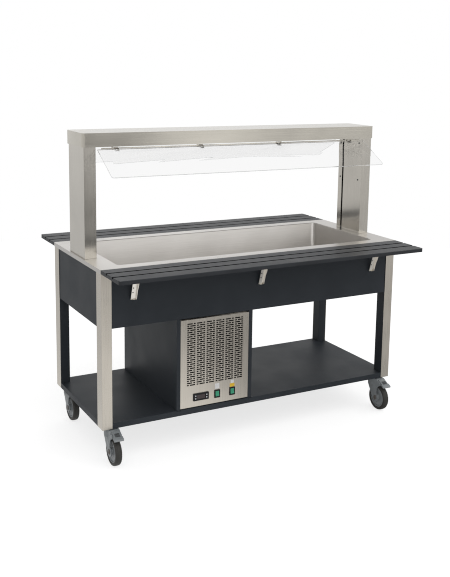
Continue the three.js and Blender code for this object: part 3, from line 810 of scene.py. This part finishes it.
def areaLamp(name, look):
    data = bpy.data.lights.new(name, "AREA")
    data.energy = look["power"]
    data.size = look["size"]
    placed = bpy.data.objects.new(name, data)
    placed.location = look["place"]
    placed.rotation_euler = (lampTarget - Vector(look["place"])).to_track_quat("-Z", "Y").to_euler()
    placed.visible_camera = False
    placed.visible_transmission = False
    scene.collection.objects.link(placed)


photoCamera(camera)
for name, look in lamps.items():
    areaLamp(name, look)
print("camera and lamps set")


def brightnessRamp(tree, value, stops):
    # grey between (place, brightness) stops, as value runs from the first place to the last
    start = stops[0][0]
    end = stops[-1][0]
    ramp = tree.nodes.new("ShaderNodeValToRGB")
    ramp.color_ramp.elements.remove(ramp.color_ramp.elements[1])
    for i, (place, bright) in enumerate(stops):
        position = (place - start) / (end - start)
        stop = ramp.color_ramp.elements[0] if i == 0 else ramp.color_ramp.elements.new(position)
        stop.position = position
        stop.color = (bright, bright, bright, 1.0)
    tree.links.new(rangeNode(tree, value, start, end), ramp.inputs["Fac"])
    return ramp.outputs["Color"]


studio = {
    "light": 0.45,           # plain light on the object from all round
    "ring": (                # what the steel mirrors: degrees from the front towards +X, and brightness
        (-180, 0.68), (-150, 0.72), (-120, 0.70), (-60, 0.60), (-20, 0.38), (8, 0.06), (20.8, 0.06),
        (22.2, 1.30), (28, 1.30), (30, 0.95), (33, 0.64), (60, 0.60), (100, 0.50), (143, 1.40),
        (160, 0.72), (180, 0.68),
    ),
    "top": 0.87,             # what it mirrors from above the ring
    "topFrom": -0.155,       # the ring gives way to the top between these slopes of the ray
    "topTo": 0.0,
}


def studioWorld(look):
    world = bpy.data.worlds.new("studio")
    scene.world = world
    world.use_nodes = True
    tree = world.node_tree
    direction = tree.nodes.new("ShaderNodeTexCoord")
    parts = tree.nodes.new("ShaderNodeSeparateXYZ")
    tree.links.new(direction.outputs["Generated"], parts.inputs["Vector"])
    toFront = mathNode(tree, "MULTIPLY", parts.outputs["Y"], -1.0)
    around = mathNode(tree, "ARCTAN2", parts.outputs["X"], toFront)
    stops = [(math.radians(degrees), bright) for degrees, bright in look["ring"]]
    topMix = tree.nodes.new("ShaderNodeMixRGB")
    rise = rangeNode(tree, parts.outputs["Z"], look["topFrom"], look["topTo"])
    tree.links.new(rise, topMix.inputs["Fac"])
    tree.links.new(brightnessRamp(tree, around, stops), topMix.inputs["Color1"])
    topMix.inputs["Color2"].default_value = (look["top"], look["top"], look["top"], 1.0)
    inSteel = tree.nodes.new("ShaderNodeBackground")
    tree.links.new(topMix.outputs["Color"], inSteel.inputs["Color"])
    light = tree.nodes["Background"]
    light.inputs["Color"].default_value = (1.0, 1.0, 1.0, 1.0)
    light.inputs["Strength"].default_value = look["light"]
    white = tree.nodes.new("ShaderNodeBackground")
    white.inputs["Color"].default_value = (1.0, 1.0, 1.0, 1.0)
    lit = mixShaders(tree, mirroredOnce(tree), light.outputs["Background"], inSteel.outputs["Background"])
    shown = mixShaders(tree, seenDirectly(tree), lit, white.outputs["Background"])
    tree.links.new(shown, tree.nodes["World Output"].inputs["Surface"])


paleFloor = {
    "radius": 4.5,
    "segments": 64,
    "color": 0.62,           # for the light it throws back on the object
    "roughness": 0.9,
    "glow": 0.72,            # what the camera sees is this much of its own
    "shadowed": 0.55,        # and this much that takes the shadow
    "inSteel": (             # what the steel mirrors of it: X, and brightness
        (-3.0, 0.66), (-1.3, 0.70), (-0.4, 1.06), (-0.1, 1.06), (0.3, 0.50), (0.5, 0.28), (0.8, 0.40),
        (1.2, 0.60), (3.0, 0.52),
    ),
}


def floorMaterial(look):
    material, tree, shader = newMaterial("paleFloor", [look["color"]] * 3, look["roughness"])
    glow = tree.nodes.new("ShaderNodeEmission")
    glow.inputs["Strength"].default_value = look["glow"]
    shadowed = tree.nodes.new("ShaderNodeBsdfDiffuse")
    shadowed.inputs["Color"].default_value = (look["shadowed"], look["shadowed"], look["shadowed"], 1.0)
    seen = tree.nodes.new("ShaderNodeAddShader")
    tree.links.new(glow.outputs["Emission"], seen.inputs[0])
    tree.links.new(shadowed.outputs["BSDF"], seen.inputs[1])
    place = tree.nodes.new("ShaderNodeTexCoord")
    parts = tree.nodes.new("ShaderNodeSeparateXYZ")
    tree.links.new(place.outputs["Object"], parts.inputs["Vector"])
    inSteel = tree.nodes.new("ShaderNodeEmission")
    tree.links.new(brightnessRamp(tree, parts.outputs["X"], look["inSteel"]), inSteel.inputs["Color"])
    lit = mixShaders(tree, mirroredOnce(tree), shader.outputs["BSDF"], inSteel.outputs["Emission"])
    shown = mixShaders(tree, seenDirectly(tree), lit, seen.outputs["Shader"])
    tree.links.new(shown, tree.nodes["Material Output"].inputs["Surface"])
    return material


def stageFloor(look):
    bm = bmesh.new()
    bmesh.ops.create_circle(bm, cap_ends=True, segments=look["segments"], radius=look["radius"])
    mesh = bpy.data.meshes.new("floor")
    bm.to_mesh(mesh)
    bm.free()
    mesh.materials.append(floorMaterial(look))
    floor = bpy.data.objects.new("floor", mesh)
    scene.collection.objects.link(floor)


studioWorld(studio)
stageFloor(paleFloor)
scene.view_settings.view_transform = "Standard"
scene.cycles.filter_width = 1.1      # in pixels, so the slots stay crisp
print("world and floor set")
